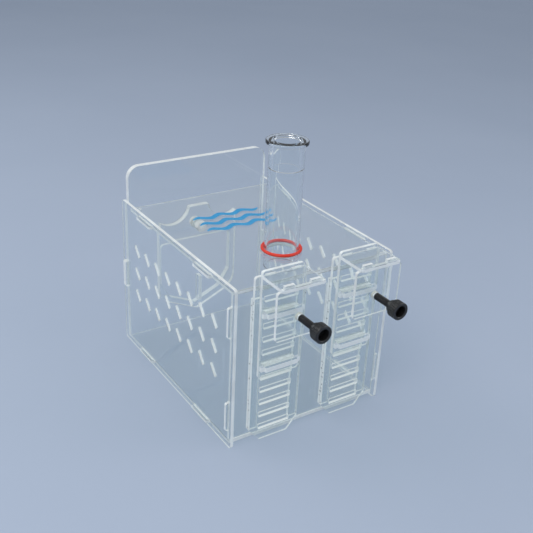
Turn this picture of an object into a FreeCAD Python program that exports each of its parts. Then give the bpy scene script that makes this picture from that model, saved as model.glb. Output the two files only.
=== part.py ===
import FreeCAD, Part
import math
import os
import re
import Sketcher

# A clear acrylic fish trap box that hangs inside an aquarium. Millimetres, +Z up, +Y to the back.
# The origin is under the middle of the whole object, on the surface that the box stands on.

driving = {
    # the box: two side panels that hold every other panel by tabs
    "boxWidth": 157, "boxDepth": 210, "boxHeight": 150,
    "sheetThick": 3, "backThick": 6, "sideCorner": 2.5,
    "edgeInset": 3, "frontInset": 4, "rearInset": 4,
    "tabLength": 27, "tabReach": 2.5, "tabChamfer": 0.8, "fitGap": 0.1,
    "sideTabSpread": 54, "frontTabSpread": 44.5,
    # slanted water vents in both side panels
    "ventLength": 13.2, "ventWidth": 3, "ventLean": 49,
    "ventPitch": 21, "ventDrop": 23.4, "ventBackGap": 31.6, "ventTopGap": 42,
    # back panel and the opening that a fish swims through
    "backRise": 34, "backCorner": 12,
    "entryHalf": 38, "entryElbow": 28, "entryTopDrop": 14.5, "entryShoulderDrop": 58,
    "entryElbowDrop": 74.5, "entryDrop": 87, "entryCorner": 4,
    # swinging gate on its nylon screw
    "gateOffset": -4, "pivotDrop": 36.5, "gateThick": 6, "gateHalf": 42,
    "gateEar": 10, "gateSide": 73, "gateDrop": 92, "gateRound": 17, "gateTipRound": 5,
    "hubHalf": 17, "hubTop": 21, "scallopRadius": 20, "scallopOut": 30, "scallopUp": 25,
    "weightWidth": 4, "weightThick": 6, "weightLow": 79.5, "weightHigh": 51.5,
    "pivotRadius": 3, "pivotGap": 0.05, "washerRadius": 5.5, "washerThick": 1,
    "nutAcross": 10, "nutThick": 5, "pivotHeadRadius": 5.5, "pivotHeadThick": 3.4, "pivotEnd": 3.5,
    "lidGap": 0.6, "lineHoleRadius": 1.6, "lineHoleInset": 5,
    # feeding tube through the lid, standing on its ring
    "tubeX": -1.5, "tubeY": 52, "tubeRadius": 15, "tubeWall": 2, "tubeBelow": 17, "tubeAbove": 97,
    "tubeGap": 0.3, "flangeLip": 2.8, "flangeThick": 3, "sleeveWall": 1.9, "sleeveLength": 24,
    "ringSection": 1.2, "ringGap": 0.1,
    # ladder plates on the front, with rungs for the keys
    "ladderSpread": 37.25, "ladderWidth": 48, "ladderRise": 8, "spacerThick": 3, "spacerWidth": 8,
    "ladderLow": 1.5, "ladderFoot": 10, "ladderFootHeight": 12, "spacerTop": 12,
    "rungDrop": 12.4, "rungPitch": 12.3, "rungLength": 31, "rungHeight": 4.9, "rungCorner": 0.8,
    # hangers that go over the tank's rim
    "hangerHalf": 19.5, "hangerDrop": 84, "bridgeRise": 7.5, "bridgeHalf": 20, "bridgeLip": 2.5,
    "hangerCap": 3, "glassRoom": 23, "clampHalf": 22.7, "clampDrop": 35,
    "bridgeTab": 9, "bridgeTabSpread": 12, "tabProud": 1.5,
    # keys that lock a hanger to a rung
    "keyHalf": 19, "keyTongueHalf": 15, "keyThick": 4.4, "keyFront": 5, "keyReach": 2.2,
    "keyEar": 3, "keyEarDepth": 2.8,
    # thumb screws
    "screwRadius": 3, "screwDrop": 18.8, "screwReach": 17.5, "knobLength": 12, "knobRadius": 7.5,
    "knobHub": 5.2, "knobHubLength": 4, "knobWell": 4.8, "knobWellDepth": 6.5, "fluteRadius": 0.7,
    "spigotRadius": 2, "spigotLength": 1.5, "padRadius": 3.4, "padThick": 2.5,
}

ventColumns = 8
ventRows = 3
rungCount = 11
upperKeyRung = 1
lowerKeyRung = 5
fluteCount = 24

doc = FreeCAD.newDocument("TrapBox")
sheet = doc.addObject("Spreadsheet::Sheet", "dims")
for row, (alias, amount) in enumerate(driving.items(), start=1):
    sheet.set("A%d" % row, alias)
    sheet.set("B%d" % row, str(amount))
    sheet.setAlias("B%d" % row, alias)
doc.recompute()

# distances back from the front edges of the side panels; the hangers are at negative ones
spacerFront = "(frontInset - spacerThick)"
ladderFront = "(%s - sheetThick)" % spacerFront
hangerFront = "(%s - sheetThick)" % ladderFront
clampRear = "(%s - glassRoom)" % hangerFront
clampFront = "(%s - sheetThick)" % clampRear
knobRear = "(%s - screwReach)" % clampFront
knobFront = "(%s - knobLength)" % knobRear
backFront = "(boxDepth - rearInset - backThick)"
gateRear = "(%s - washerThick)" % backFront
gateFront = "(%s - gateThick)" % gateRear
lidRear = "(%s - lidGap)" % gateFront
frontEdge = "(-(%s + boxDepth) / 2)" % knobFront

# heights
lidTop = "(boxHeight - edgeInset)"
lidBottom = "(boxHeight - edgeInset - sheetThick)"
floorTop = "(edgeInset + sheetThick)"
ladderTop = "(boxHeight + ladderRise)"
bridgeBottom = "(boxHeight + bridgeRise)"
bridgeTop = "(%s + sheetThick)" % bridgeBottom
pivotHeight = "(boxHeight - pivotDrop)"
screwHeight = "(boxHeight - screwDrop)"
hangerLow = "(boxHeight - hangerDrop)"
clampLow = "(boxHeight - clampDrop)"
topRung = "(boxHeight - rungDrop)"

innerHalf = "(boxWidth / 2 - sheetThick)"

# how a piece drawn flat is turned into place
flat = FreeCAD.Rotation()
facingFront = FreeCAD.Rotation(FreeCAD.Vector(1, 0, 0), 90)
facingSide = FreeCAD.Rotation(FreeCAD.Vector(1, 1, 1), 120)

pieces = []


def bound(text):
    # a size's plain name becomes a reference to its cell
    return re.sub(r"[A-Za-z]+", lambda word: "dims." + word.group(0) if word.group(0) in driving
                  else word.group(0), text)


def number(text):
    return float(sheet.evalExpression(bound(text)))


def fromFront(distance):
    return "%s + %s" % (frontEdge, distance)


def newBody(label, turn, x, y, z):
    body = doc.addObject("PartDesign::Body", label)
    body.Label = label
    body.Placement = FreeCAD.Placement(FreeCAD.Vector(), turn)
    for axis, place in (("x", x), ("y", y), ("z", z)):
        body.setExpression("Placement.Base." + axis, bound(place))
    pieces.append(body)
    return body


def newSketch(body, role="XY_Plane", lift="0"):
    sketch = body.newObject("Sketcher::SketchObject", body.Label + "_sketch")
    plane = [feature for feature in body.Origin.OriginFeatures if feature.Role == role][0]
    sketch.AttachmentSupport = [(plane, "")]
    sketch.MapMode = "FlatFace"
    sketch.setExpression("AttachmentOffset.Base.z", bound(lift))
    return sketch


def pin(sketch, item, vertex, x, y):
    for kind, place in (("DistanceX", x), ("DistanceY", y)):
        index = sketch.addConstraint(Sketcher.Constraint(kind, item, vertex, number(place)))
        sketch.setExpression("Constraints[%d]" % index, bound(place))


def size(sketch, item, radius):
    index = sketch.addConstraint(Sketcher.Constraint("Radius", item, number(radius)))
    sketch.setExpression("Constraints[%d]" % index, bound(radius))


def polygon(sketch, corners):
    points = [FreeCAD.Vector(number(x), number(y), 0) for x, y in corners]
    first = sketch.GeometryCount
    count = len(points)
    for index, point in enumerate(points):
        sketch.addGeometry(Part.LineSegment(point, points[(index + 1) % count]), False)
    for index, (x, y) in enumerate(corners):
        before = first + (index - 1) % count
        sketch.addConstraint(Sketcher.Constraint("Coincident", before, 2, first + index, 1))
        pin(sketch, first + index, 1, x, y)


def circle(sketch, x, y, radius):
    centre = FreeCAD.Vector(number(x), number(y), 0)
    item = sketch.addGeometry(Part.Circle(centre, FreeCAD.Vector(0, 0, 1), number(radius)), False)
    pin(sketch, item, 3, x, y)
    size(sketch, item, radius)


def slot(sketch, startX, startY, endX, endY, radius):
    # a long hole with round ends, between the centres of its two end arcs
    start = FreeCAD.Vector(number(startX), number(startY), 0)
    end = FreeCAD.Vector(number(endX), number(endY), 0)
    reach = number(radius)
    lean = math.atan2(end.y - start.y, end.x - start.x)
    quarter = math.pi / 2
    up = FreeCAD.Vector(0, 0, 1)
    side = FreeCAD.Vector(-math.sin(lean), math.cos(lean), 0) * reach
    farArc = Part.ArcOfCircle(Part.Circle(end, up, reach), lean - quarter, lean + quarter)
    nearArc = Part.ArcOfCircle(Part.Circle(start, up, reach), lean + quarter, lean + 3 * quarter)
    far = sketch.addGeometry(farArc, False)
    top = sketch.addGeometry(Part.LineSegment(end + side, start + side), False)
    near = sketch.addGeometry(nearArc, False)
    low = sketch.addGeometry(Part.LineSegment(start - side, end - side), False)
    for one, other in ((far, top), (top, near), (near, low), (low, far)):
        sketch.addConstraint(Sketcher.Constraint("Tangent", one, 2, other, 1))
    sketch.addConstraint(Sketcher.Constraint("Equal", far, near))
    pin(sketch, near, 3, startX, startY)
    pin(sketch, far, 3, endX, endY)
    size(sketch, far, radius)


def roundedSlot(sketch, halfLength, level, halfHeight, radius):
    # a long hole with small round corners, centred sideways
    places = [("(%s - %s)", "%s - (%s - %s)"), ("(%s - %s)", "%s + (%s - %s)"),
              ("-(%s - %s)", "%s + (%s - %s)"), ("-(%s - %s)", "%s - (%s - %s)")]
    corners = [(across % (halfLength, radius), along % (level, halfHeight, radius))
               for across, along in places]
    centres = [FreeCAD.Vector(number(x), number(y), 0) for x, y in corners]
    reach = number(radius)
    up = FreeCAD.Vector(0, 0, 1)
    quarter = math.pi / 2
    arcs = []
    for index, centre in enumerate(centres):
        arc = Part.ArcOfCircle(Part.Circle(centre, up, reach), (index - 1) * quarter, index * quarter)
        arcs.append(sketch.addGeometry(arc, False))
    for index, centre in enumerate(centres):
        after = (index + 1) % len(arcs)
        away = FreeCAD.Vector(math.cos(index * quarter), math.sin(index * quarter), 0) * reach
        line = sketch.addGeometry(Part.LineSegment(centre + away, centres[after] + away), False)
        sketch.addConstraint(Sketcher.Constraint("Tangent", arcs[index], 2, line, 1))
        sketch.addConstraint(Sketcher.Constraint("Tangent", line, 2, arcs[after], 1))
        pin(sketch, arcs[index], 3, *corners[index])
    for arc in arcs[1:]:
        sketch.addConstraint(Sketcher.Constraint("Equal", arcs[0], arc))
    size(sketch, arcs[0], radius)


def pad(body, sketch, length):
    feature = body.newObject("PartDesign::Pad", body.Label + "_pad")
    feature.Profile = sketch
    feature.setExpression("Length", bound(length))
    sketch.Visibility = False
    return feature


def cutThrough(body, sketch):
    feature = body.newObject("PartDesign::Pocket", body.Label + "_cut")
    feature.Profile = sketch
    feature.Type = "ThroughAll"
    feature.Reversed = True
    return feature


def repeatAlong(body, feature, sketch, axis, length, count, backwards=False):
    pattern = body.newObject("PartDesign::LinearPattern", body.Label + "_row")
    pattern.Originals = [feature]
    pattern.Direction = (sketch, [axis])
    pattern.Reversed = backwards
    pattern.setExpression("Length", bound(length))
    pattern.Occurrences = count
    body.Tip = pattern
    return pattern


def roundCorners(body, corners, radius):
    # rounds the upright edges of the flat piece that stand at the given corners
    doc.recompute()
    base = body.Tip
    spots = [FreeCAD.Vector(number(x), number(y), 0) for x, y in corners]
    names = []
    for index, edge in enumerate(base.Shape.Edges, start=1):
        ends = [vertex.Point for vertex in edge.Vertexes]
        if len(ends) != 2:
            continue
        level = [FreeCAD.Vector(end.x, end.y, 0) for end in ends]
        upright = level[0].distanceToPoint(level[1]) < 0.001
        if upright and any(level[0].distanceToPoint(spot) < 0.001 for spot in spots):
            names.append("Edge%d" % index)
    fillet = body.newObject("PartDesign::Fillet", body.Label + "_round")
    fillet.Base = (base, names)
    fillet.setExpression("Radius", bound(radius))
    return fillet


def revolve(body, profile):
    # turns a profile of radius and height round the piece's own upright axis
    sketch = newSketch(body, "XZ_Plane")
    polygon(sketch, profile)
    feature = body.newObject("PartDesign::Revolution", body.Label + "_turned")
    feature.Profile = sketch
    feature.ReferenceAxis = (sketch, ["V_Axis"])
    feature.Angle = 360
    sketch.Visibility = False
    return feature


def chamferedTab(inner, outer, start, end, upward):
    # the corners of one tab on an upright side, walked upward or downward
    corners = [(inner, start), ("%s - tabChamfer" % outer, start), (outer, "%s + tabChamfer" % start),
               (outer, "%s - tabChamfer" % end), ("%s - tabChamfer" % outer, end), (inner, end)]
    return corners if upward else corners[::-1]


def capturedPanel(label, turn, y, z, low, high, thick, tabCentres):
    # a panel held between the side panels by tabs on both sides
    body = newBody(label, turn, "0", y, z)
    outer = "(boxWidth / 2 + tabReach)"
    corners = [("-%s" % innerHalf, low), (innerHalf, low)]
    for centre in tabCentres:
        start = "(%s - tabLength / 2)" % centre
        end = "(%s + tabLength / 2)" % centre
        corners += chamferedTab(innerHalf, outer, start, end, True)
    corners += [(innerHalf, high), ("-%s" % innerHalf, high)]
    for centre in reversed(tabCentres):
        start = "(%s - tabLength / 2)" % centre
        end = "(%s + tabLength / 2)" % centre
        right = chamferedTab(innerHalf, outer, start, end, False)
        corners += [("-(%s)" % x, place) for x, place in right]
    sketch = newSketch(body)
    polygon(sketch, corners)
    pad(body, sketch, thick)
    return body


def sidePanel(label, x):
    body = newBody(label, facingSide, x, frontEdge, "0")
    corners = [("0", "0"), ("boxDepth", "0"), ("boxDepth", "boxHeight"), ("0", "boxHeight")]
    outline = newSketch(body)
    polygon(outline, corners)
    pad(body, outline, "sheetThick")
    roundCorners(body, corners, "sideCorner")
    # mortises for the tabs of the lid, floor, front and back panels
    mortises = newSketch(body)
    thin = "(sheetThick / 2 + fitGap)"
    for centre in ("(boxDepth / 2 - sideTabSpread)", "(boxDepth / 2 + sideTabSpread)"):
        for middle in ("(edgeInset + sheetThick / 2)", "(boxHeight - edgeInset - sheetThick / 2)"):
            slot(mortises, "%s - tabLength / 2" % centre, middle, "%s + tabLength / 2" % centre, middle, thin)
    frontMiddle = "(frontInset + sheetThick / 2)"
    for centre in ("(boxHeight / 2 - frontTabSpread)", "(boxHeight / 2 + frontTabSpread)"):
        low = "%s - tabLength / 2" % centre
        high = "%s + tabLength / 2" % centre
        slot(mortises, frontMiddle, low, frontMiddle, high, thin)
    rear = "(boxDepth - rearInset + fitGap)"
    front = "(%s - fitGap)" % backFront
    low = "(boxHeight / 2 - tabLength / 2 - fitGap)"
    high = "(boxHeight / 2 + tabLength / 2 + fitGap)"
    polygon(mortises, [(front, low), (rear, low), (rear, high), (front, high)])
    cutThrough(body, mortises)
    # one upright column of slanted vents, repeated towards the front
    column = newSketch(body)
    reachY = "(ventLength - ventWidth) / 2 * cos(ventLean)"
    reachZ = "(ventLength - ventWidth) / 2 * sin(ventLean)"
    for level in range(ventRows):
        middleY = "boxDepth - ventBackGap"
        middleZ = "boxHeight - ventTopGap - %d * ventDrop" % level
        slot(column, "%s - %s" % (middleY, reachY), "%s - %s" % (middleZ, reachZ),
             "%s + %s" % (middleY, reachY), "%s + %s" % (middleZ, reachZ), "ventWidth / 2")
    vents = cutThrough(body, column)
    repeatAlong(body, vents, column, "H_Axis", "ventPitch * %d" % (ventColumns - 1), ventColumns, True)


def lidPanel():
    centres = ["(boxDepth / 2 - sideTabSpread)", "(boxDepth / 2 + sideTabSpread)"]
    body = capturedPanel("lid", flat, frontEdge, lidBottom, "frontInset", lidRear, "sheetThick", centres)
    holes = newSketch(body)
    circle(holes, "tubeX", "tubeY", "tubeRadius + tubeGap")
    circle(holes, "-%s + lineHoleInset" % innerHalf, "%s - lineHoleInset" % lidRear, "lineHoleRadius")
    cutThrough(body, holes)


def bottomPanel():
    centres = ["(boxDepth / 2 - sideTabSpread)", "(boxDepth / 2 + sideTabSpread)"]
    capturedPanel("bottom_panel", flat, frontEdge, "edgeInset", "frontInset", backFront, "sheetThick", centres)


def frontPanel():
    centres = ["(boxHeight / 2 - frontTabSpread)", "(boxHeight / 2 + frontTabSpread)"]
    rearFace = fromFront("(frontInset + sheetThick)")
    capturedPanel("front_panel", facingFront, rearFace, "0", floorTop, lidBottom, "sheetThick", centres)


def backPanel():
    rearFace = fromFront("(boxDepth - rearInset)")
    top = "(boxHeight + backRise)"
    body = capturedPanel("back_panel", facingFront, rearFace, "0", "edgeInset", top, "backThick",
                         ["(boxHeight / 2)"])
    roundCorners(body, [("-%s" % innerHalf, top), (innerHalf, top)], "backCorner")
    entry = newSketch(body)
    left = "gateOffset - entryHalf"
    right = "gateOffset + entryHalf"
    top = "%s - entryTopDrop" % pivotHeight
    shoulder = "%s - entryShoulderDrop" % pivotHeight
    elbow = "%s - entryElbowDrop" % pivotHeight
    polygon(entry, [(left, top), (left, shoulder), ("gateOffset - entryElbow", elbow),
                    ("gateOffset", "%s - entryDrop" % pivotHeight), ("gateOffset + entryElbow", elbow),
                    (right, shoulder), (right, top)])
    circle(entry, "gateOffset", pivotHeight, "pivotRadius + pivotGap")
    cutThrough(body, entry)
    corners = [(left, top), (right, top)]
    roundCorners(body, corners, "entryCorner")


def swingGate():
    body = newBody("swing_gate", facingFront, "gateOffset", fromFront(gateRear), pivotHeight)
    plate = newSketch(body)
    polygon(plate, [("-gateHalf", "gateEar"), ("-gateHalf", "-gateSide"), ("0", "-gateDrop"),
                    ("gateHalf", "-gateSide"), ("gateHalf", "gateEar"), ("hubHalf", "gateEar"),
                    ("hubHalf", "hubTop"), ("-hubHalf", "hubTop"), ("-hubHalf", "gateEar")])
    pad(body, plate, "gateThick")
    roundCorners(body, [("-gateHalf", "-gateSide"), ("gateHalf", "-gateSide")], "gateRound")
    roundCorners(body, [("0", "-gateDrop")], "gateTipRound")
    scallops = newSketch(body)
    circle(scallops, "-scallopOut", "scallopUp", "scallopRadius")
    circle(scallops, "scallopOut", "scallopUp", "scallopRadius")
    cutThrough(body, scallops)
    hole = newSketch(body)
    circle(hole, "0", "0", "pivotRadius + pivotGap")
    cutThrough(body, hole)


def gateWeight():
    # a bar cemented to the gate's front face, low down, so that it falls shut under water
    body = newBody("gate_weight", facingFront, "gateOffset", fromFront(gateFront), pivotHeight)
    bar = newSketch(body)
    half = "weightWidth / 2"
    polygon(bar, [("-%s" % half, "-weightLow"), (half, "-weightLow"), (half, "-weightHigh"),
                  ("-%s" % half, "-weightHigh")])
    pad(body, bar, "weightThick")


def pivotScrew():
    # nylon: its head is outside the back panel and its end stands out of the nut inside the box
    rear = "boxDepth - rearInset + pivotHeadThick"
    body = newBody("pivot_screw", facingFront, "gateOffset", fromFront(rear), pivotHeight)
    end = "(pivotHeadThick + backThick + 2 * washerThick + gateThick + nutThick + pivotEnd)"
    revolve(body, [("0", "0"), ("pivotHeadRadius - 1", "0"), ("pivotHeadRadius", "1"),
                   ("pivotHeadRadius", "pivotHeadThick"), ("pivotRadius", "pivotHeadThick"),
                   ("pivotRadius", "%s - 1" % end), ("pivotRadius - 1", end), ("0", end)])


def pivotWasher(label, rear):
    body = newBody(label, facingFront, "gateOffset", fromFront(rear), pivotHeight)
    ring = newSketch(body)
    circle(ring, "0", "0", "washerRadius")
    circle(ring, "0", "0", "pivotRadius + pivotGap")
    pad(body, ring, "washerThick")


def pivotNut():
    rear = "(%s - washerThick)" % gateFront
    body = newBody("pivot_nut", facingFront, "gateOffset", fromFront(rear), pivotHeight)
    hexagon = newSketch(body)
    sides = 6
    across = "nutAcross / 2 / cos(%d)" % (180 // sides)
    turns = [index * 360 // sides for index in range(sides)]
    polygon(hexagon, [("%s * cos(%d)" % (across, turn), "%s * sin(%d)" % (across, turn)) for turn in turns])
    circle(hexagon, "0", "0", "pivotRadius")
    pad(body, hexagon, "nutThick")


def feedingTube():
    x = "tubeX"
    y = fromFront("tubeY")
    tubeTop = "(%s + tubeAbove)" % lidTop
    body = newBody("feeding_tube", flat, x, y, "%s - tubeBelow" % lidTop)
    walls = newSketch(body)
    circle(walls, "0", "0", "tubeRadius")
    circle(walls, "0", "0", "tubeRadius - tubeWall")
    pad(body, walls, "tubeBelow + tubeAbove")

    body = newBody("tube_flange", flat, x, y, "%s - flangeThick" % tubeTop)
    rim = newSketch(body)
    circle(rim, "0", "0", "tubeRadius + flangeLip")
    circle(rim, "0", "0", "tubeRadius")
    pad(body, rim, "flangeThick")

    body = newBody("tube_sleeve", flat, x, y, "%s - sleeveLength" % tubeTop)
    lining = newSketch(body)
    circle(lining, "0", "0", "tubeRadius - tubeWall")
    circle(lining, "0", "0", "tubeRadius - tubeWall - sleeveWall")
    pad(body, lining, "sleeveLength")

    ring = doc.addObject("Part::Torus", "o_ring")
    ring.Label = "o_ring"
    ring.setExpression("Radius1", bound("tubeRadius + ringGap + ringSection"))
    ring.setExpression("Radius2", bound("ringSection"))
    for axis, place in (("x", x), ("y", y), ("z", "%s + ringGap + ringSection" % lidTop)):
        ring.setExpression("Placement.Base." + axis, bound(place))
    pieces.append(ring)


def ladder(side, centre):
    rear = fromFront(spacerFront)
    body = newBody("ladder_plate_" + side, facingFront, centre, rear, "0")
    half = "ladderWidth / 2"
    top = ladderTop
    foot = "ladderLow + ladderFootHeight"
    plate = newSketch(body)
    polygon(plate, [("-%s" % half, foot), ("-%s + ladderFoot" % half, "ladderLow"),
                    ("%s - ladderFoot" % half, "ladderLow"), (half, foot), (half, top), ("-%s" % half, top)])
    pad(body, plate, "sheetThick")
    roundCorners(body, [("-%s" % half, top), (half, top)], "sideCorner")
    rung = newSketch(body)
    roundedSlot(rung, "rungLength / 2", topRung, "rungHeight / 2", "rungCorner")
    firstRung = cutThrough(body, rung)
    repeatAlong(body, firstRung, rung, "V_Axis", "rungPitch * %d" % (rungCount - 1), rungCount, True)
    # two strips keep the ladder off the front panel, so that a key's end has room behind the rung
    for name, shift in (("outer", "-1"), ("inner", "1")):
        strip = newBody("ladder_spacer_%s_%s" % (side, name), facingFront, centre,
                        fromFront("frontInset"), "0")
        far = "%s * ladderWidth / 2" % shift
        near = "%s * (ladderWidth / 2 - spacerWidth)" % shift
        outline = newSketch(strip)
        polygon(outline, [(far, foot), (near, foot), (near, "boxHeight - spacerTop"),
                          (far, "boxHeight - spacerTop")])
        pad(strip, outline, "spacerThick")


def hanger(side, centre):
    # back plate: lies on the ladder, carries the bridge and the two keys
    body = newBody("hanger_back_" + side, facingFront, centre, fromFront(ladderFront), "0")
    low = hangerLow
    high = "(%s + hangerCap)" % bridgeTop
    corners = [("-hangerHalf", low), ("hangerHalf", low), ("hangerHalf", high), ("-hangerHalf", high)]
    plate = newSketch(body)
    polygon(plate, corners)
    pad(body, plate, "sheetThick")
    roundCorners(body, corners, "sideCorner")
    holes = newSketch(body)
    for rung in (upperKeyRung, lowerKeyRung):
        level = "(%s - %d * rungPitch)" % (topRung, rung)
        roundedSlot(holes, "rungLength / 2", level, "rungHeight / 2", "rungCorner")
    for shift in ("-1", "1"):
        inner = "%s * (bridgeTabSpread - bridgeTab / 2 - fitGap)" % shift
        outer = "%s * (bridgeTabSpread + bridgeTab / 2 + fitGap)" % shift
        under = "%s - fitGap" % bridgeBottom
        over = "%s + fitGap" % bridgeTop
        polygon(holes, [(inner, under), (outer, under), (outer, over), (inner, over)])
    cutThrough(body, holes)

    # bridge: goes over the tank's rim, tabs through the back plate, mortises for the clamp plate
    body = newBody("hanger_bridge_" + side, flat, centre, frontEdge, bridgeBottom)
    front = "(%s - bridgeLip)" % clampFront
    rear = hangerFront
    tabRear = ladderFront
    tabStart = "(bridgeTabSpread - bridgeTab / 2)"
    tabEnd = "(bridgeTabSpread + bridgeTab / 2)"
    outline = newSketch(body)
    polygon(outline, [("-bridgeHalf", front), ("bridgeHalf", front), ("bridgeHalf", rear), (tabEnd, rear),
                      (tabEnd, tabRear), (tabStart, tabRear), (tabStart, rear), ("-%s" % tabStart, rear),
                      ("-%s" % tabStart, tabRear), ("-%s" % tabEnd, tabRear), ("-%s" % tabEnd, rear),
                      ("-bridgeHalf", rear)])
    pad(body, outline, "sheetThick")
    roundCorners(body, [("-bridgeHalf", front), ("bridgeHalf", front)], "sideCorner")
    mortises = newSketch(body)
    for shift in ("-1", "1"):
        inner = "%s * (bridgeTabSpread - bridgeTab / 2 - fitGap)" % shift
        outer = "%s * (bridgeTabSpread + bridgeTab / 2 + fitGap)" % shift
        polygon(mortises, [(inner, "%s - fitGap" % clampFront), (outer, "%s - fitGap" % clampFront),
                           (outer, "%s + fitGap" % clampRear), (inner, "%s + fitGap" % clampRear)])
    cutThrough(body, mortises)

    # clamp plate: hangs outside the tank and is tapped for the thumb screw
    body = newBody("clamp_plate_" + side, facingFront, centre, fromFront(clampRear), "0")
    tabTop = "(%s + tabProud)" % bridgeTop
    under = bridgeBottom
    plate = newSketch(body)
    polygon(plate, [("-clampHalf", clampLow), ("clampHalf", clampLow), ("clampHalf", under),
                    (tabEnd, under), (tabEnd, tabTop), (tabStart, tabTop), (tabStart, under),
                    ("-%s" % tabStart, under), ("-%s" % tabStart, tabTop), ("-%s" % tabEnd, tabTop),
                    ("-%s" % tabEnd, under), ("-clampHalf", under)])
    pad(body, plate, "sheetThick")
    roundCorners(body, [("-clampHalf", clampLow), ("clampHalf", clampLow), ("clampHalf", under),
                        ("-clampHalf", under)], "sideCorner")
    hole = newSketch(body)
    circle(hole, "0", screwHeight, "screwRadius + pivotGap")
    cutThrough(body, hole)


def key(side, name, centre, rung):
    # a flat key: its tongue goes through the back plate and the ladder, its ears stop on the back plate
    level = "%s - %d * rungPitch - keyThick / 2" % (topRung, rung)
    body = newBody("key_%s_%s" % (name, side), flat, centre, fromFront(hangerFront), level)
    end = "(2 * sheetThick + keyReach)"
    outline = newSketch(body)
    polygon(outline, [("-keyHalf", "-keyEarDepth"), ("-keyHalf + keyEar", "-keyEarDepth"),
                      ("-keyHalf + keyEar", "-keyFront"), ("keyHalf - keyEar", "-keyFront"),
                      ("keyHalf - keyEar", "-keyEarDepth"), ("keyHalf", "-keyEarDepth"), ("keyHalf", "0"),
                      ("keyTongueHalf", "0"), ("keyTongueHalf", end), ("-keyTongueHalf", end),
                      ("-keyTongueHalf", "0"), ("-keyHalf", "0")])
    pad(body, outline, "keyThick")
    roundCorners(body, [("-keyHalf + keyEar", "-keyFront"), ("keyHalf - keyEar", "-keyFront"),
                        ("keyTongueHalf", end), ("-keyTongueHalf", end)], "tabChamfer")


def thumbScrew(side, centre):
    # the screw is drawn from its tip at the clamp plate's rear face towards the knob
    body = newBody("screw_shaft_" + side, facingFront, centre, fromFront(clampRear), screwHeight)
    inKnob = "(sheetThick + screwReach + knobLength - knobWellDepth)"
    revolve(body, [("0", "-spigotLength"), ("spigotRadius", "-spigotLength"), ("spigotRadius", "0"),
                   ("screwRadius", "0"), ("screwRadius", inKnob), ("0", inKnob)])

    body = newBody("screw_knob_" + side, facingFront, centre, fromFront(knobRear), screwHeight)
    hubEnd = "knobHubLength"
    floor = "knobLength - knobWellDepth"
    revolve(body, [("screwRadius", "0"), ("knobHub - 0.6", "0"), ("knobHub", "0.6"),
                   ("knobHub", "%s - 1" % hubEnd), ("knobRadius - 1", hubEnd), ("knobRadius", "%s + 1" % hubEnd),
                   ("knobRadius", "knobLength - 0.8"), ("knobRadius - 0.8", "knobLength"),
                   ("knobWell + 0.6", "knobLength"), ("knobWell", "knobLength - 0.6"), ("knobWell", floor),
                   ("screwRadius", floor)])
    flute = newSketch(body)
    circle(flute, "knobRadius + fluteRadius / 3", "0", "fluteRadius")
    groove = cutThrough(body, flute)
    grip = body.newObject("PartDesign::PolarPattern", body.Label + "_grip")
    grip.Originals = [groove]
    grip.Axis = (flute, ["N_Axis"])
    grip.Angle = 360
    grip.Occurrences = fluteCount
    body.Tip = grip

    # soft pad on the spigot: the only thing that touches the tank's glass
    body = newBody("screw_pad_" + side, facingFront, centre, fromFront("%s + padThick" % clampRear),
                   screwHeight)
    bore = "spigotRadius + pivotGap"
    well = "padThick - spigotLength - pivotGap"
    revolve(body, [("0", "0"), ("padRadius - 0.6", "0"), ("padRadius", "0.6"), ("padRadius", "padThick"),
                   (bore, "padThick"), (bore, well), ("0", well)])


sidePanel("side_panel_left", "-boxWidth / 2")
sidePanel("side_panel_right", innerHalf)
lidPanel()
bottomPanel()
frontPanel()
backPanel()
swingGate()
gateWeight()
pivotScrew()
pivotWasher("pivot_washer_rear", backFront)
pivotWasher("pivot_washer_front", gateFront)
pivotNut()
feedingTube()
for side, centre in (("left", "-ladderSpread"), ("right", "ladderSpread")):
    ladder(side, centre)
    hanger(side, centre)
    key(side, "upper", centre, upperKeyRung)
    key(side, "lower", centre, lowerKeyRung)
    thumbScrew(side, centre)

doc.recompute()
for item in doc.Objects:
    if "Invalid" in item.State or "Error" in item.State:
        raise RuntimeError("%s did not build: %s" % (item.Label, item.State))
for piece in pieces:
    if piece.Shape.isNull() or not piece.Shape.isValid() or not piece.Shape.Solids:
        raise RuntimeError("%s has no valid solid" % piece.Label)

os.makedirs("parts", exist_ok=True)
for piece in pieces:
    piece.Shape.exportStep("parts/%s.step" % piece.Label)
print("%d nodes written" % len(pieces))
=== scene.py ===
import bpy
import bmesh
import math
from mathutils import Matrix, Vector


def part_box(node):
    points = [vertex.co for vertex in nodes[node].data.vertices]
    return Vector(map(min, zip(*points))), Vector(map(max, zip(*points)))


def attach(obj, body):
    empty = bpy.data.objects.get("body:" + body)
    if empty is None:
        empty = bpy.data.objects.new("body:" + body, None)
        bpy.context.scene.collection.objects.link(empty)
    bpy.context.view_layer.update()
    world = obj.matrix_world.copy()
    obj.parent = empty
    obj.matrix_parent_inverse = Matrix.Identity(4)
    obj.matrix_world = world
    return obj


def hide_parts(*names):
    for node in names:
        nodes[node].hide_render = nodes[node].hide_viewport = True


# Clear acrylic fish trap box: laser-cut sheets, an extruded tube, nylon gate screw, black thumb screws.

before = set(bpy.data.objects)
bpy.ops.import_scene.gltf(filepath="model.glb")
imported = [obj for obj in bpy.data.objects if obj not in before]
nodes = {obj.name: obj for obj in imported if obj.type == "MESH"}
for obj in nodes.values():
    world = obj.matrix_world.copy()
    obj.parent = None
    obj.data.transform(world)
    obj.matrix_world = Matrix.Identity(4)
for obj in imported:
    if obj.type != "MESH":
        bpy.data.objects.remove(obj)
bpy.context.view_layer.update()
sides = ("left", "right")
mm = 0.001


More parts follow.
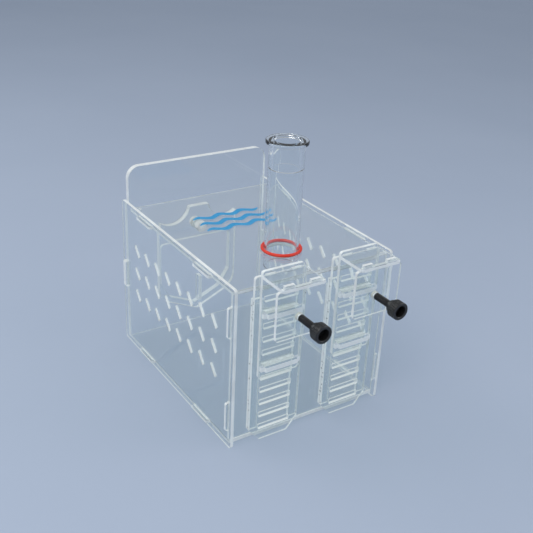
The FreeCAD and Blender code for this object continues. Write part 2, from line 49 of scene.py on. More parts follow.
def linear(hexColour, alpha=1.0):
    values = [int(hexColour[i:i + 2], 16) / 255 for i in (1, 3, 5)]
    return [v / 12.92 if v <= 0.04045 else ((v + 0.055) / 1.055) ** 2.4 for v in values] + [alpha]


def add(tree, kind, links=None, **settings):
    # one node: links maps an input's name or number to a value or to another node's output
    node = tree.nodes.new(kind)
    for name, value in settings.items():
        setattr(node, name, value)
    for key, value in (links or {}).items():
        if isinstance(value, bpy.types.NodeSocket):
            tree.links.new(value, node.inputs[key])
        else:
            node.inputs[key].default_value = value
    return node


def newMaterial(name):
    material = bpy.data.materials.new(name)
    material.use_nodes = True
    material.node_tree.nodes.clear()
    return material, material.node_tree


def coat(thing, material):
    thing.data.materials.clear()
    thing.data.materials.append(material)


def meshPiece(name, points, faces, material, body, replaced=(), smooth=True, slot=None):
    mesh = bpy.data.meshes.new(name)
    mesh.from_pydata([tuple(p) for p in points], [], faces)
    work = bmesh.new()
    work.from_mesh(mesh)
    bmesh.ops.remove_doubles(work, verts=work.verts, dist=1e-7)
    bmesh.ops.recalc_face_normals(work, faces=work.faces)
    work.to_mesh(mesh)
    work.free()
    if smooth:
        mesh.shade_smooth()
    piece = bpy.data.objects.new(name, mesh)
    bpy.context.scene.collection.objects.link(piece)
    coat(piece, material)
    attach(piece, body)
    if replaced:
        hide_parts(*replaced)
    return piece


def sharpen(piece, degrees):
    # smooth shading stops at edges that turn by more than this
    piece.data.set_sharp_from_angle(angle=math.radians(degrees))


sheetLook = {
    "face": "#FBFDFD", "edge": "#F8FCFB", "ior": 1.49, "skin": 0.03, "bevel": 0.14, "weld": 0.005,
    "edgeClear": 0.16, "clearSpread": 0.15, "edgeRough": 0.42, "roughSpread": 0.12,
    "kerfSpacing": 1.1, "kerfDepth": 0.05, "kerfStrength": 0.7, "kerfStretch": 0.04,
    "smudgeSize": 35, "faceRough": 0.012, "smudgeRough": 0.045, "shade": "#F6F8F8",
}


def letLampsThrough(tree, shader, tint):
    # lamps and soft light pass the clear wall as they would pass a real one, slightly dimmed
    path = add(tree, "ShaderNodeLightPath")
    through = add(tree, "ShaderNodeBsdfTransparent", {"Color": linear(tint)})
    lamps = add(tree, "ShaderNodeMixShader", {0: path.outputs["Is Shadow Ray"], 1: shader.outputs[0],
                                              2: through.outputs[0]})
    soft = add(tree, "ShaderNodeMixShader", {0: path.outputs["Is Diffuse Ray"], 1: lamps.outputs[0],
                                             2: through.outputs[0]})
    add(tree, "ShaderNodeOutputMaterial", {"Surface": soft.outputs[0]})


def castAcrylic(name, thin):
    # cast acrylic sheet, laser cut: polished faces, milky cut edges with fine kerf lines across them
    material, tree = newMaterial(name)
    look = sheetLook
    spot = add(tree, "ShaderNodeTexCoord")
    across = add(tree, "ShaderNodeVectorMath", {0: spot.outputs["Normal"], 1: thin}, operation="DOT_PRODUCT")
    facing = add(tree, "ShaderNodeMath", {0: across.outputs["Value"]}, operation="ABSOLUTE")
    edge = add(tree, "ShaderNodeMapRange", {"Value": facing.outputs[0], "From Min": 0.25, "From Max": 0.75,
                                            "To Min": 1.0, "To Max": 0.0})
    # kerf lines run through the sheet, so the pattern is stretched along its thickness
    kerfScale = 1 / (look["kerfSpacing"] * mm)
    squeeze = [kerfScale * (look["kerfStretch"] if part else 1) for part in thin]
    stretched = add(tree, "ShaderNodeMapping", {"Vector": spot.outputs["Object"], "Scale": squeeze})
    kerf = add(tree, "ShaderNodeTexNoise", {"Vector": stretched.outputs[0], "Scale": 1.0, "Detail": 3.0,
                                            "Roughness": 0.6})
    smudge = add(tree, "ShaderNodeTexNoise", {"Vector": spot.outputs["Object"], "Scale": look["smudgeSize"],
                                              "Detail": 4.0})
    faceRough = add(tree, "ShaderNodeMapRange", {"Value": smudge.outputs["Fac"], "From Min": 0.45,
                                                 "From Max": 0.8, "To Min": look["faceRough"],
                                                 "To Max": look["smudgeRough"]})
    edgeRough = add(tree, "ShaderNodeMapRange", {"Value": kerf.outputs["Fac"], "From Min": 0.3,
                                                 "From Max": 0.7,
                                                 "To Min": look["edgeRough"] - look["roughSpread"],
                                                 "To Max": look["edgeRough"] + look["roughSpread"]})
    rough = add(tree, "ShaderNodeMix", {"Factor": edge.outputs[0], "A": faceRough.outputs[0],
                                        "B": edgeRough.outputs[0]})
    edgeClear = add(tree, "ShaderNodeMapRange", {"Value": kerf.outputs["Fac"], "From Min": 0.3,
                                                 "From Max": 0.7,
                                                 "To Min": look["edgeClear"] - look["clearSpread"],
                                                 "To Max": look["edgeClear"] + look["clearSpread"]})
    clear = add(tree, "ShaderNodeMix", {"Factor": edge.outputs[0], "A": 1.0, "B": edgeClear.outputs[0]})
    colour = add(tree, "ShaderNodeMix", {"Factor": edge.outputs[0]}, data_type="RGBA")
    colour.inputs[6].default_value = linear(look["face"])
    colour.inputs[7].default_value = linear(look["edge"])
    depth = add(tree, "ShaderNodeMath", {0: edge.outputs[0], 1: look["kerfStrength"]}, operation="MULTIPLY")
    bump = add(tree, "ShaderNodeBump", {"Strength": depth.outputs[0], "Distance": look["kerfDepth"] * mm,
                                        "Height": kerf.outputs["Fac"]})
    shader = add(tree, "ShaderNodeBsdfPrincipled", {
        "Base Color": colour.outputs[2], "Roughness": rough.outputs[0], "IOR": look["ior"],
        "Transmission Weight": clear.outputs[0], "Normal": bump.outputs[0]})
    letLampsThrough(tree, shader, sheetLook["shade"])
    return material


def extrudedAcrylic():
    # extruded acrylic tube: faint draw lines along it, so highlights streak slightly
    material, tree = newMaterial("extrudedAcrylicTube")
    spot = add(tree, "ShaderNodeTexCoord")
    stretched = add(tree, "ShaderNodeMapping", {"Vector": spot.outputs["Object"], "Scale": (900, 900, 12)})
    draw = add(tree, "ShaderNodeTexNoise", {"Vector": stretched.outputs[0], "Scale": 1.0, "Detail": 2.0})
    rough = add(tree, "ShaderNodeMapRange", {"Value": draw.outputs["Fac"], "To Min": 0.004, "To Max": 0.05})
    bump = add(tree, "ShaderNodeBump", {"Strength": 0.12, "Distance": 0.02 * mm,
                                        "Height": draw.outputs["Fac"]})
    shader = add(tree, "ShaderNodeBsdfPrincipled", {
        "Base Color": linear(sheetLook["face"]), "Roughness": rough.outputs[0], "IOR": sheetLook["ior"],
        "Transmission Weight": 1.0, "Normal": bump.outputs[0]})
    letLampsThrough(tree, shader, sheetLook["shade"])
    return material


def mouldedPlastic(name, dark, light, roughness, grain, depth, scatter=0.0):
    # injection moulded plastic: a fine spark-eroded grain and slight uneven gloss
    material, tree = newMaterial(name)
    spot = add(tree, "ShaderNodeTexCoord")
    fine = add(tree, "ShaderNodeTexNoise", {"Vector": spot.outputs["Object"], "Scale": 1 / (grain * mm),
                                            "Detail": 3.0})
    broad = add(tree, "ShaderNodeTexNoise", {"Vector": spot.outputs["Object"], "Scale": 120, "Detail": 3.0})
    colour = add(tree, "ShaderNodeMix", {"Factor": broad.outputs["Fac"]}, data_type="RGBA")
    colour.inputs[6].default_value = linear(dark)
    colour.inputs[7].default_value = linear(light)
    rough = add(tree, "ShaderNodeMapRange", {"Value": broad.outputs["Fac"], "From Min": 0.3, "From Max": 0.7,
                                             "To Min": roughness - 0.06, "To Max": roughness + 0.08})
    bump = add(tree, "ShaderNodeBump", {"Strength": 0.5, "Distance": depth * mm,
                                        "Height": fine.outputs["Fac"]})
    shader = add(tree, "ShaderNodeBsdfPrincipled", {
        "Base Color": colour.outputs[2], "Roughness": rough.outputs[0], "IOR": 1.53,
        "Subsurface Weight": scatter, "Subsurface Radius": (1.0, 0.9, 0.8), "Subsurface Scale": 0.6 * mm,
        "Normal": bump.outputs[0]})
    add(tree, "ShaderNodeOutputMaterial", {"Surface": shader.outputs[0]})
    return material


sheetAcross = {
    "x": castAcrylic("castAcrylicSideSheet", (1, 0, 0)),
    "y": castAcrylic("castAcrylicUprightSheet", (0, 1, 0)),
    "z": castAcrylic("castAcrylicLevelSheet", (0, 0, 1)),
}
tubeAcrylic = extrudedAcrylic()
blackAbs = mouldedPlastic("blackMouldedAbs", "#161617", "#1F1F20", 0.38, 0.45, 0.02)
blackNylon = mouldedPlastic("blackNylonThread", "#141415", "#1B1B1C", 0.34, 0.3, 0.008)
whiteNylon = mouldedPlastic("whiteNylon", "#F2F1EC", "#FAF9F5", 0.36, 0.35, 0.01, 0.25)
padElastomer = mouldedPlastic("paleElastomerPad", "#D9D8CF", "#E4E3DA", 0.6, 0.4, 0.02, 0.2)
redSilicone = mouldedPlastic("redSiliconeRubber", "#E8301C", "#F23C24", 0.42, 0.3, 0.008, 0.15)
print("materials made")


sheetDirections = {
    "x": ["side_panel_left", "side_panel_right", "gate_weight"],
    "z": ["lid", "bottom_panel"],
    "y": ["front_panel", "back_panel", "swing_gate"],
}
for side in sides:
    sheetDirections["z"] += ["hanger_bridge_" + side, "key_upper_" + side, "key_lower_" + side]
    sheetDirections["y"] += ["ladder_plate_" + side, "ladder_spacer_%s_outer" % side,
                             "ladder_spacer_%s_inner" % side, "hanger_back_" + side, "clamp_plate_" + side]


moulded = ("pivot_nut", "pivot_washer_front", "pivot_washer_rear")
mouldedEdge = {"width": 0.25 * mm, "sharpest": 40}


def thinSkin(piece):
    # draws every face in by a hair, so that two clear faces never lie in one plane, and eases the edges
    weld = piece.modifiers.new("weld", "WELD")
    weld.merge_threshold = sheetLook["weld"] * mm
    draw = piece.modifiers.new("drawIn", "DISPLACE")
    draw.mid_level = 0
    draw.strength = -sheetLook["skin"] * mm
    ease = piece.modifiers.new("ease", "BEVEL")
    ease.width = sheetLook["bevel"] * mm
    ease.segments = 1
    ease.limit_method = "ANGLE"
    ease.angle_limit = math.radians(50)
    ease.harden_normals = False


for axis, names in sheetDirections.items():
    for name in names:
        coat(nodes[name], sheetAcross[axis])
        thinSkin(nodes[name])
for side in sides:
    coat(nodes["screw_pad_" + side], padElastomer)
for name in moulded:
    coat(nodes[name], whiteNylon)
print("sheets and nodes painted")


def lathe(profile, centre, steps=128, closed=True):
    # profile: radius and height pairs in metres round an upright axis; closed: the profile is a loop
    points = []
    faces = []
    for radius, height in profile:
        for step in range(steps):
            turn = 2 * math.pi * step / steps
            points.append((centre[0] + radius * math.cos(turn), centre[1] + radius * math.sin(turn),
                           centre[2] + height))
    rows = len(profile)
    for row in range(rows if closed else rows - 1):
        after = (row + 1) % rows
        for step in range(steps):
            other = (step + 1) % steps
            here, above = row * steps, after * steps
            faces.append((here + step, here + other, above + other, above + step))
    return points, faces


tubeShape = {"corner": 0.3 * mm, "flangeCorner": 0.7 * mm, "bore": 11.1 * mm, "cornerParts": 4}


def boxOf(name):
    low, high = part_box(name)
    return low, high, (low + high) / 2


def makeTube():
    # the tube, its flange and its lining are cemented with clear solvent, so light sees them as one wall
    low, high, middle = boxOf("feeding_tube")
    outer = (high.x - low.x) / 2
    sleeveLow, sleeveHigh, _ = boxOf("tube_sleeve")
    inner = (sleeveHigh.x - sleeveLow.x) / 2
    flangeLow, flangeHigh, _ = boxOf("tube_flange")
    flangeOuter = (flangeHigh.x - flangeLow.x) / 2
    soft, easing, bore = tubeShape["corner"], tubeShape["flangeCorner"], tubeShape["bore"]
    parts = tubeShape["cornerParts"]
    section = [(outer - soft, low.z), (outer, low.z + soft), (outer, flangeLow.z),
               (flangeOuter - easing, flangeLow.z)]
    for centre, start in ((flangeLow.z + easing, -90), (flangeHigh.z - easing, 0)):
        for part in range(parts + 1):
            turn = math.radians(start + 90 / parts * part)
            section.append((flangeOuter - easing + easing * math.cos(turn), centre + easing * math.sin(turn)))
    section += [(bore + soft, high.z), (bore, high.z - soft), (bore, sleeveLow.z + soft),
                (bore + soft, sleeveLow.z), (inner, sleeveLow.z), (inner, low.z + soft),
                (inner + soft, low.z)]
    piece = meshPiece("feedingTube", *lathe(section, (middle.x, middle.y, 0)), tubeAcrylic, "tube",
                      ["feeding_tube", "tube_flange", "tube_sleeve"], slot="clear_acrylic_tube")
    sharpen(piece, 30)


ringShape = {"section": 2.8 * mm, "around": 24}


def makeRing():
    # silicone cord ring that grips the tube and rests on the lid
    low, high, middle = boxOf("o_ring")
    section = ringShape["section"] / 2
    inside = (high.x - low.x) / 2 - (high.z - low.z)
    loop = []
    for part in range(ringShape["around"]):
        turn = 2 * math.pi * part / ringShape["around"]
        loop.append(((inside + section) + section * math.cos(turn), section * math.sin(turn)))
    meshPiece("siliconeRing", *lathe(loop, (middle.x, middle.y, low.z + section)), redSilicone, "ring",
              ["o_ring"], slot="red_silicone")


makeTube()
makeRing()
print("tube and ring turned")


thread = {"major": 3.0 * mm, "depth": 0.58 * mm, "pitch": 1.0 * mm, "around": 48, "perPitch": 10,
          "crest": 1.2, "flank": 2.5}


def alongY(points, faces, x, z):
    # stands a lathe's upright result on its side: its height runs along +Y
    return [(x + px, pz, z - py) for px, py, pz in points], faces


def threadedRod(x, z, yStart, yEnd):
    # a right-hand thread round the Y axis from yStart to yEnd, its ends tapered
    length = yEnd - yStart
    rows = int(length / thread["pitch"] * thread["perPitch"])
    around = thread["around"]
    points = [(x, yStart, z)]
    faces = []
    for row in range(rows + 1):
        y = yStart + length * row / rows
        fromEnd = min(y - yStart, yEnd - y)
        limit = thread["major"] - thread["depth"] + fromEnd
        for step in range(around):
            turn = 2 * math.pi * step / around
            phase = (y / thread["pitch"] - step / around) % 1.0
            ridge = min(max(thread["crest"] - abs(phase - 0.5) * thread["flank"], 0), 1)
            radius = min(thread["major"] - thread["depth"] * (1 - ridge), limit)
            points.append((x + radius * math.sin(turn), y, z + radius * math.cos(turn)))
    for row in range(rows):
        for step in range(around):
            other = (step + 1) % around
            a, b = 1 + row * around, 1 + (row + 1) * around
            faces.append((a + step, a + other, b + other, b + step))
    points.append((x, yEnd, z))
    for step in range(around):
        other = (step + 1) % around
        faces.append((0, 1 + other, 1 + step))
        faces.append((len(points) - 1, 1 + rows * around + step, 1 + rows * around + other))
    return points, faces


def together(*shells):
    points = []
    faces = []
    for somePoints, someFaces in shells:
        start = len(points)
        points += [tuple(point) for point in somePoints]
        faces += [tuple(start + corner for corner in face) for face in someFaces]
    return points, faces


screwTip = {"length": 1.5 * mm, "radius": 1.95 * mm, "chamfer": 0.3 * mm, "buried": 0.5 * mm}


def makeThumbScrews():
    # M6 nylon thread with a plain tip that the pad is pressed on
    for side in sides:
        low, high, middle = boxOf("screw_shaft_" + side)
        shoulder = high.y - screwTip["length"]
        rod = threadedRod(middle.x, middle.z, low.y, shoulder)
        buried = shoulder - screwTip["buried"]
        profile = [(0, buried), (screwTip["radius"], buried),
                   (screwTip["radius"], high.y - screwTip["chamfer"]),
                   (screwTip["radius"] - screwTip["chamfer"], high.y), (0, high.y)]
        tip = alongY(*lathe(profile, (0, 0, 0), 48, False), middle.x, middle.z)
        piece = meshPiece("thumbScrewThread_" + side, *together(rod, tip), blackNylon, "screw_" + side,
                          ["screw_shaft_" + side], slot="black_nylon")
        sharpen(piece, 60)


pivot = {"headRadius": 5.5 * mm, "headThick": 3.4 * mm, "slotWide": 1.3 * mm, "slotDeep": 1.5 * mm,
         "soft": 0.6 * mm, "softShare": 0.3, "buried": 0.5 * mm, "webLap": 0.05 * mm, "webShort": 0.02 * mm}


def makePivotScrew():
    # nylon cheese-head screw: the slot of its head is outside, its thread shows past the nut inside
    low, high, middle = boxOf("pivot_screw")
    seat = high.y - pivot["headThick"]
    rod = threadedRod(middle.x, middle.z, low.y, seat + pivot["buried"])
    floor = high.y - pivot["slotDeep"]
    half = pivot["slotWide"] / 2
    steps = 96
    points = []
    faces = []
    # rings of the head from its seat to its top, the top's two halves left apart for the slot
    rings = [(pivot["headRadius"], seat), (pivot["headRadius"], high.y - pivot["soft"]),
             (pivot["headRadius"] - pivot["softShare"] * pivot["soft"],
              high.y - pivot["softShare"] * pivot["soft"]),
             (pivot["headRadius"] - pivot["soft"], high.y)]
    for direction in (-1, 1):
        start = len(points)
        turns = []
        for radius, _ in rings:
            reach = math.acos(half / radius)
            turns.append([(-reach + 2 * reach * part / steps) for part in range(steps + 1)])
        for (radius, y), row in zip(rings, turns):
            for turn in row:
                points.append((direction * radius * math.cos(turn), y, radius * math.sin(turn)))
        wide = steps + 1
        for row in range(len(rings) - 1):
            for step in range(steps):
                a, b = start + row * wide + step, start + (row + 1) * wide + step
                faces.append((a, a + 1, b + 1, b))
        top = start + (len(rings) - 1) * wide
        faces.append(tuple(top + step for step in range(wide)))
        faces.append(tuple(start + step for step in range(wide)))
        faces.append(tuple([start + row * wide for row in range(len(rings))]
                           + [start + row * wide + steps for row in reversed(range(len(rings)))]))
    # the web under the slot joins the two halves
    wide = half + pivot["webLap"]
    length = math.sqrt(pivot["headRadius"] ** 2 - half ** 2) - pivot["webShort"]
    web = []
    for y in (seat, floor):
        web += [(-wide, y, -length), (wide, y, -length), (wide, y, length), (-wide, y, length)]
    webFaces = [(0, 1, 2, 3), (4, 7, 6, 5), (0, 4, 5, 1), (1, 5, 6, 2), (2, 6, 7, 3), (3, 7, 4, 0)]
    head = together((points, faces), (web, webFaces))
    head = ([(middle.x + x, y, middle.z + z) for x, y, z in head[0]], head[1])
    piece = meshPiece("pivotScrewThread", *together(rod, head), whiteNylon, "box", ["pivot_screw"],
                      slot="white_nylon")
    sharpen(piece, 40)


def addSocket(group, name, kind, direction="INPUT", **settings):
    socket = group.interface.new_socket(name, in_out=direction, socket_type=kind)
    for key, value in settings.items():
        setattr(socket, key, value)
    return socket.identifier


def runNodes(name, points, faces, group, values):
    # evaluates a node tree on a small base mesh and hands back a plain mesh's points and faces
    mesh = bpy.data.meshes.new(name + "Base")
    mesh.from_pydata([tuple(point) for point in points], [], faces)
    base = bpy.data.objects.new(name + "Base", mesh)
    bpy.context.scene.collection.objects.link(base)
    modifier = base.modifiers.new("nodes", "NODES")
    modifier.node_group = group
    for identifier, value in values.items():
        modifier[identifier] = value
    evaluated = base.evaluated_get(bpy.context.evaluated_depsgraph_get())
    result = bpy.data.meshes.new_from_object(evaluated)
    base.modifiers.remove(modifier)
    bpy.data.objects.remove(base)
    return result


def adoptMesh(name, mesh, body, replaced=()):
    piece = bpy.data.objects.new(name, mesh)
    bpy.context.scene.collection.objects.link(piece)
    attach(piece, body)
    if replaced:
        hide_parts(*replaced)
    return piece


knob = {"ribs": 24, "ribRadius": 0.55 * mm, "ribSink": 0.15 * mm, "ribLap": 0.4 * mm,
        "core": 7.1 * mm, "band": 7.45 * mm, "bandLength": 1.1 * mm, "hub": 5.2 * mm, "hubLength": 4.0 * mm,
        "well": 4.8 * mm, "wellDepth": 6.5 * mm, "soft": 0.5 * mm, "groove": 0.35 * mm, "lip": 0.3 * mm,
        "lipIn": 0.25 * mm, "flareStart": 1.4 * mm, "flareEnd": 0.9 * mm, "shaftFit": 0.1 * mm}


def knurlTree():
    # ribs stood round the core, all of them along the knob's own Y axis
    group = bpy.data.node_groups.new("knobRibs", "GeometryNodeTree")
    addSocket(group, "Core", "NodeSocketGeometry")
    ids = {"ribs": addSocket(group, "Ribs", "NodeSocketInt"),
           "circle": addSocket(group, "Rib circle radius", "NodeSocketFloat"),
           "radius": addSocket(group, "Rib radius", "NodeSocketFloat"),
           "length": addSocket(group, "Rib length", "NodeSocketFloat"),
           "middle": addSocket(group, "Rib middle", "NodeSocketVector"),
           "finish": addSocket(group, "Finish", "NodeSocketMaterial")}
    addSocket(group, "Knob", "NodeSocketGeometry", "OUTPUT")
    start = add(group, "NodeGroupInput")
    ring = add(group, "GeometryNodeMeshCircle", {"Vertices": start.outputs["Ribs"],
                                                 "Radius": start.outputs["Rib circle radius"]})
    rib = add(group, "GeometryNodeMeshCylinder", {"Vertices": 12, "Radius": start.outputs["Rib radius"],
                                                  "Depth": start.outputs["Rib length"]},
              fill_type="TRIANGLE_FAN")
    ribs = add(group, "GeometryNodeInstanceOnPoints", {"Points": ring.outputs[0], "Instance": rib.outputs[0]})
    lay = add(group, "GeometryNodeTransform", {"Geometry": ribs.outputs[0], "Rotation": (math.pi / 2, 0, 0),
                                               "Translation": start.outputs["Rib middle"]})
    both = add(group, "GeometryNodeJoinGeometry")
    group.links.new(lay.outputs[0], both.inputs[0])
    group.links.new(start.outputs["Core"], both.inputs[0])
    real = add(group, "GeometryNodeRealizeInstances", {"Geometry": both.outputs[0]})
    finish = add(group, "GeometryNodeSetMaterial", {"Geometry": real.outputs[0],
                                                    "Material": start.outputs["Finish"]})
    end = add(group, "NodeGroupOutput")
    group.links.new(finish.outputs[0], end.inputs[0])
    return group, ids


def makeKnobs():
    # moulded knob: a cone up from the hub, ribs between two bands, an open well in its face
    group, ids = knurlTree()
    for side in sides:
        low, high, middle = boxOf("screw_knob_" + side)
        shaftRadius = thread["major"] - knob["shaftFit"]
        back, front = high.y, low.y
        grip = back - knob["hubLength"]
        band = knob["bandLength"]
        soft, groove, lip = knob["soft"], knob["groove"], knob["lip"]
        profile = [(shaftRadius, back), (knob["hub"] - soft, back), (knob["hub"], back - soft),
                   (knob["hub"], grip + knob["flareStart"]), (knob["band"] - knob["flareEnd"], grip + lip),
                   (knob["band"] - knob["lipIn"], grip), (knob["band"], grip - lip),
                   (knob["band"], grip - band), (knob["core"], grip - band - groove),
                   (knob["core"], front + band + groove), (knob["band"], front + band),
                   (knob["band"], front + soft), (knob["band"] - soft, front), (knob["well"] + soft, front),
                   (knob["well"], front + soft), (knob["well"], front + knob["wellDepth"]),
                   (shaftRadius, front + knob["wellDepth"])]
        points, faces = alongY(*lathe(profile, (0, 0, 0), 96), middle.x, middle.z)
        work = bmesh.new()
        corners = [work.verts.new(point) for point in points]
        for face in faces:
            work.faces.new([corners[index] for index in face])
        bmesh.ops.recalc_face_normals(work, faces=work.faces)
        shell = bpy.data.meshes.new("knobShell")
        work.to_mesh(shell)
        work.free()
        corePoints = [vertex.co[:] for vertex in shell.vertices]
        coreFaces = [tuple(face.vertices) for face in shell.polygons]
        length = grip - front - 2 * band + knob["ribLap"]
        values = {ids["ribs"]: knob["ribs"], ids["circle"]: knob["core"] - knob["ribSink"],
                  ids["radius"]: knob["ribRadius"], ids["length"]: length,
                  ids["middle"]: (middle.x, (grip + front) / 2, middle.z), ids["finish"]: blackAbs}
        mesh = runNodes("knob", corePoints, coreFaces, group, values)
        mesh.shade_smooth()
        piece = adoptMesh("thumbKnob_" + side, mesh, "screw_" + side, ["screw_knob_" + side])
        sharpen(piece, 35)


bubble = {"perSquareMetre": 70000, "seed": 11, "smallest": 0.22 * mm, "largest": 0.62 * mm, "flatness": 0.3,
          "bandWide": 3.4 * mm, "cement": "#5F6C75"}


def bubbleTree():
    # flattened beads of set cement strewn over narrow strips
    group = bpy.data.node_groups.new("cementBubbles", "GeometryNodeTree")
    addSocket(group, "Strips", "NodeSocketGeometry")
    ids = {"density": addSocket(group, "Bubbles per square metre", "NodeSocketFloat"),
           "seed": addSocket(group, "Seed", "NodeSocketInt"),
           "smallest": addSocket(group, "Smallest", "NodeSocketFloat"),
           "largest": addSocket(group, "Largest", "NodeSocketFloat"),
           "flatness": addSocket(group, "Flatness", "NodeSocketVector"),
           "finish": addSocket(group, "Finish", "NodeSocketMaterial")}
    addSocket(group, "Bubbles", "NodeSocketGeometry", "OUTPUT")
    start = add(group, "NodeGroupInput")
    spots = add(group, "GeometryNodeDistributePointsOnFaces", {
        "Mesh": start.outputs["Strips"], "Density": start.outputs["Bubbles per square metre"],
        "Seed": start.outputs["Seed"]})
    ball = add(group, "GeometryNodeMeshIcoSphere", {"Radius": 1.0, "Subdivisions": 2})
    spread = add(group, "FunctionNodeRandomValue", {2: start.outputs["Smallest"], 3: start.outputs["Largest"],
                                                    "Seed": start.outputs["Seed"]}, data_type="FLOAT")
    scale = add(group, "ShaderNodeVectorMath", {0: start.outputs["Flatness"]}, operation="SCALE")
    group.links.new(spread.outputs[1], scale.inputs["Scale"])
    beads = add(group, "GeometryNodeInstanceOnPoints", {"Points": spots.outputs[0],
                                                        "Instance": ball.outputs[0],
                                                        "Scale": scale.outputs[0]})
    real = add(group, "GeometryNodeRealizeInstances", {"Geometry": beads.outputs[0]})
    finish = add(group, "GeometryNodeSetMaterial", {"Geometry": real.outputs[0],
                                                    "Material": start.outputs["Finish"]})
    end = add(group, "NodeGroupOutput")
    group.links.new(finish.outputs[0], end.inputs[0])
    return group, ids


def setCement():
    # solvent cement with trapped air: greyer than the sheet and half clear
    material, tree = newMaterial("setSolventCement")
    spot = add(tree, "ShaderNodeTexCoord")
    cloud = add(tree, "ShaderNodeTexNoise", {"Vector": spot.outputs["Object"], "Scale": 1500, "Detail": 2.0})
    clear = add(tree, "ShaderNodeMapRange", {"Value": cloud.outputs["Fac"], "From Min": 0.3, "From Max": 0.7,
                                             "To Min": 0.25, "To Max": 0.75})
    shader = add(tree, "ShaderNodeBsdfPrincipled", {
        "Base Color": linear(bubble["cement"]), "Roughness": 0.25, "IOR": 1.45,
        "Transmission Weight": clear.outputs[0]})
    add(tree, "ShaderNodeOutputMaterial", {"Surface": shader.outputs[0]})
    return material


def makeBubbles():
    # the joint between each ladder and its spacers shows beads of cement along both cut edges
    group, ids = bubbleTree()
    points = []
    faces = []
    for side in sides:
        ladderLow, ladderHigh, _ = boxOf("ladder_plate_" + side)
        spacerLow, spacerHigh, _ = boxOf("ladder_spacer_%s_outer" % side)
        seam = (ladderHigh.y + spacerLow.y) / 2
        for x in (ladderLow.x, ladderHigh.x):
            start = len(points)
            near, far = seam - bubble["bandWide"] / 2, seam + bubble["bandWide"] / 2
            points += [(x, near, spacerLow.z), (x, far, spacerLow.z),
                       (x, far, spacerHigh.z), (x, near, spacerHigh.z)]
            faces.append((start, start + 1, start + 2, start + 3))
    values = {ids["density"]: bubble["perSquareMetre"], ids["seed"]: bubble["seed"],
              ids["smallest"]: bubble["smallest"], ids["largest"]: bubble["largest"],
              ids["flatness"]: (bubble["flatness"], 1.0, 1.0), ids["finish"]: setCement()}
    mesh = runNodes("bubbles", points, faces, group, values)
    mesh.shade_smooth()
    adoptMesh("cementBubbles", mesh, "box")


makeThumbScrews()
makeKnobs()
makePivotScrew()
makeBubbles()
for name in moulded:
    ease = nodes[name].modifiers.new("ease", "BEVEL")
    ease.width = mouldedEdge["width"]
    ease.segments = 2
    ease.limit_method = "ANGLE"
    ease.angle_limit = math.radians(mouldedEdge["sharpest"])
print("screws, knobs and cement made")


mark = {"ink": "#1E93CF", "waves": 3, "left": -39 * mm, "right": 30 * mm, "near": 39 * mm, "pitch": 13.5 * mm,
        "wide": 6.2 * mm, "swing": 2.4 * mm, "crests": 3, "thick": 0.02 * mm, "lift": 0.05 * mm,
        "pinhole": "#3FA9DC", "endShare": 0.25, "endSlope": 6, "steps": 96}


def printInk():
    # screen-printed ink on acrylic: even, slightly glossy, with tiny pinholes of lighter tone
    material, tree = newMaterial("cyanScreenPrint")
    spot = add(tree, "ShaderNodeTexCoord")
    grain = add(tree, "ShaderNodeTexNoise", {"Vector": spot.outputs["Object"], "Scale": 900, "Detail": 2.0})
    tone = add(tree, "ShaderNodeMapRange", {"Value": grain.outputs["Fac"], "From Min": 0.35, "From Max": 0.7})
    colour = add(tree, "ShaderNodeMix", {"Factor": tone.outputs[0]}, data_type="RGBA")
    colour.inputs[6].default_value = linear(mark["ink"])
    colour.inputs[7].default_value = linear(mark["pinhole"])
    shader = add(tree, "ShaderNodeBsdfPrincipled", {"Base Color": colour.outputs[2], "Roughness": 0.45})
    add(tree, "ShaderNodeOutputMaterial", {"Surface": shader.outputs[0]})
    return material


def makeMark():
    # three plain waves printed on the lid stand in for the maker's print
    lidHigh = boxOf("lid")[1].z
    steps = mark["steps"]
    shells = []
    for wave in range(mark["waves"]):
        points = []
        faces = []
        middle = mark["near"] + wave * mark["pitch"]
        for step in range(steps + 1):
            share = step / steps
            x = mark["left"] + (mark["right"] - mark["left"]) * share
            y = middle + mark["swing"] * math.sin(2 * math.pi * mark["crests"] * share)
            nearest = min(share, 1 - share)
            half = mark["wide"] / 2 * min(1, mark["endShare"] + mark["endSlope"] * nearest)
            for z in (lidHigh + mark["lift"], lidHigh + mark["lift"] + mark["thick"]):
                points += [(x, y - half, z), (x, y + half, z)]
        for step in range(steps):
            a, b = 4 * step, 4 * step + 4
            faces += [(a, b, b + 1, a + 1), (a + 2, a + 3, b + 3, b + 2), (a, a + 2, b + 2, b),
                      (a + 1, b + 1, b + 3, a + 3)]
        last = 4 * steps
        faces += [(0, 1, 3, 2), (last, last + 2, last + 3, last + 1)]
        shells.append((points, faces))
    meshPiece("lidPrint", *together(*shells), printInk(), "box", smooth=False, slot="clear_acrylic_sheet")


makeMark()
print("mark printed")


paper = {"dark": "#AEBBCF", "light": "#B6C2D5", "roughness": 0.9, "half": 15, "level": -0.0002}


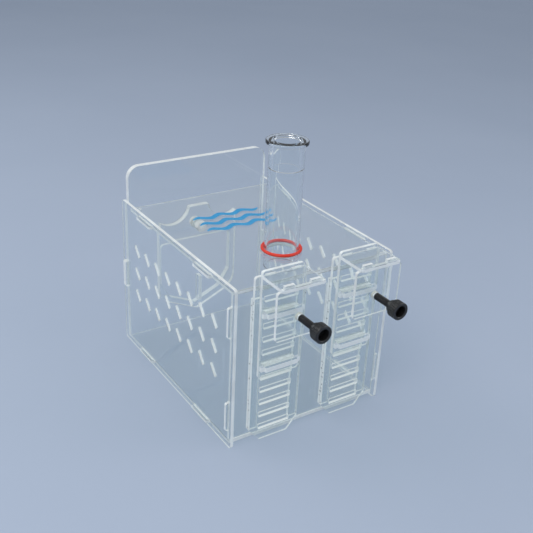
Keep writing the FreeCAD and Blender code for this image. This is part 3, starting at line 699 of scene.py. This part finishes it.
def makeStage():
    material, tree = newMaterial("paleStudioPaper")
    spot = add(tree, "ShaderNodeTexCoord")
    fibre = add(tree, "ShaderNodeTexNoise", {"Vector": spot.outputs["Object"], "Scale": 3.0, "Detail": 5.0})
    colour = add(tree, "ShaderNodeMix", {"Factor": fibre.outputs["Fac"]}, data_type="RGBA")
    colour.inputs[6].default_value = linear(paper["dark"])
    colour.inputs[7].default_value = linear(paper["light"])
    shader = add(tree, "ShaderNodeBsdfPrincipled", {"Base Color": colour.outputs[2],
                                                     "Roughness": paper["roughness"]})
    add(tree, "ShaderNodeOutputMaterial", {"Surface": shader.outputs[0]})
    mesh = bpy.data.meshes.new("floor")
    half, level = paper["half"], paper["level"]
    mesh.from_pydata([(-half, -half, level), (half, -half, level), (half, half, level), (-half, half, level)],
                     [], [(0, 1, 2, 3)])
    floor = bpy.data.objects.new("floor", mesh)
    bpy.context.scene.collection.objects.link(floor)
    coat(floor, material)


softboxes = {  # where each one stands, its width and height, watts and colour
    "keySoftbox": ((-0.9, -0.5, 1.1), (0.7, 0.7), 7, (1, 0.99, 0.97)),
    "fillSoftbox": ((1.0, -0.7, 0.8), (0.6, 0.9), 3.5, (0.97, 0.98, 1)),
    "rearStrip": ((-0.75, 0.9, 1.25), (0.8, 0.35), 5, (1, 1, 1)),
}
lampTarget = Vector((0, 0, 0.08))
skyLight = {"colour": "#E6ECF4", "strength": 0.55}


def makeLamp(name, place, size, power, colour):
    lamp = bpy.data.lights.new(name, "AREA")
    lamp.shape = "RECTANGLE"
    lamp.size, lamp.size_y = size
    lamp.energy = power
    lamp.color = colour
    holder = bpy.data.objects.new(name, lamp)
    holder.location = place
    holder.rotation_euler = (lampTarget - Vector(place)).to_track_quat("-Z", "Y").to_euler()
    bpy.context.scene.collection.objects.link(holder)


def makeWorld():
    world = bpy.data.worlds.new("studio")
    bpy.context.scene.world = world
    world.use_nodes = True
    tree = world.node_tree
    tree.nodes.clear()
    light = add(tree, "ShaderNodeBackground", {"Color": linear(skyLight["colour"]),
                                              "Strength": skyLight["strength"]})
    add(tree, "ShaderNodeOutputWorld", {"Surface": light.outputs[0]})


viewpoint = {
    "lens": 55.47, "sensor": 36, "place": (-0.36562, -0.54335, 0.44229),
    "right": (0.841112, -0.539067, 0.044021), "up": (0.205148, 0.393284, 0.896238),
    "forward": (0.500445, 0.744805, -0.441384),
}


def makeCamera():
    camera = bpy.data.cameras.new("camera")
    camera.sensor_width = viewpoint["sensor"]
    camera.lens = viewpoint["lens"]
    camera.clip_start = 0.05
    camera.clip_end = 60
    holder = bpy.data.objects.new("camera", camera)
    right, up, forward = (Vector(viewpoint[key]) for key in ("right", "up", "forward"))
    turn = Matrix((right, up, -forward)).transposed().to_4x4()
    holder.matrix_world = Matrix.Translation(viewpoint["place"]) @ turn
    bpy.context.scene.collection.objects.link(holder)
    bpy.context.scene.camera = holder


makeStage()
makeWorld()
for name, settings in softboxes.items():
    makeLamp(name, *settings)
makeCamera()

scene = bpy.context.scene
scene.view_settings.view_transform = "Standard"
scene.cycles.max_bounces = 44
scene.cycles.transmission_bounces = 44
scene.cycles.transparent_max_bounces = 32
scene.cycles.caustics_reflective = False
print("stage set")
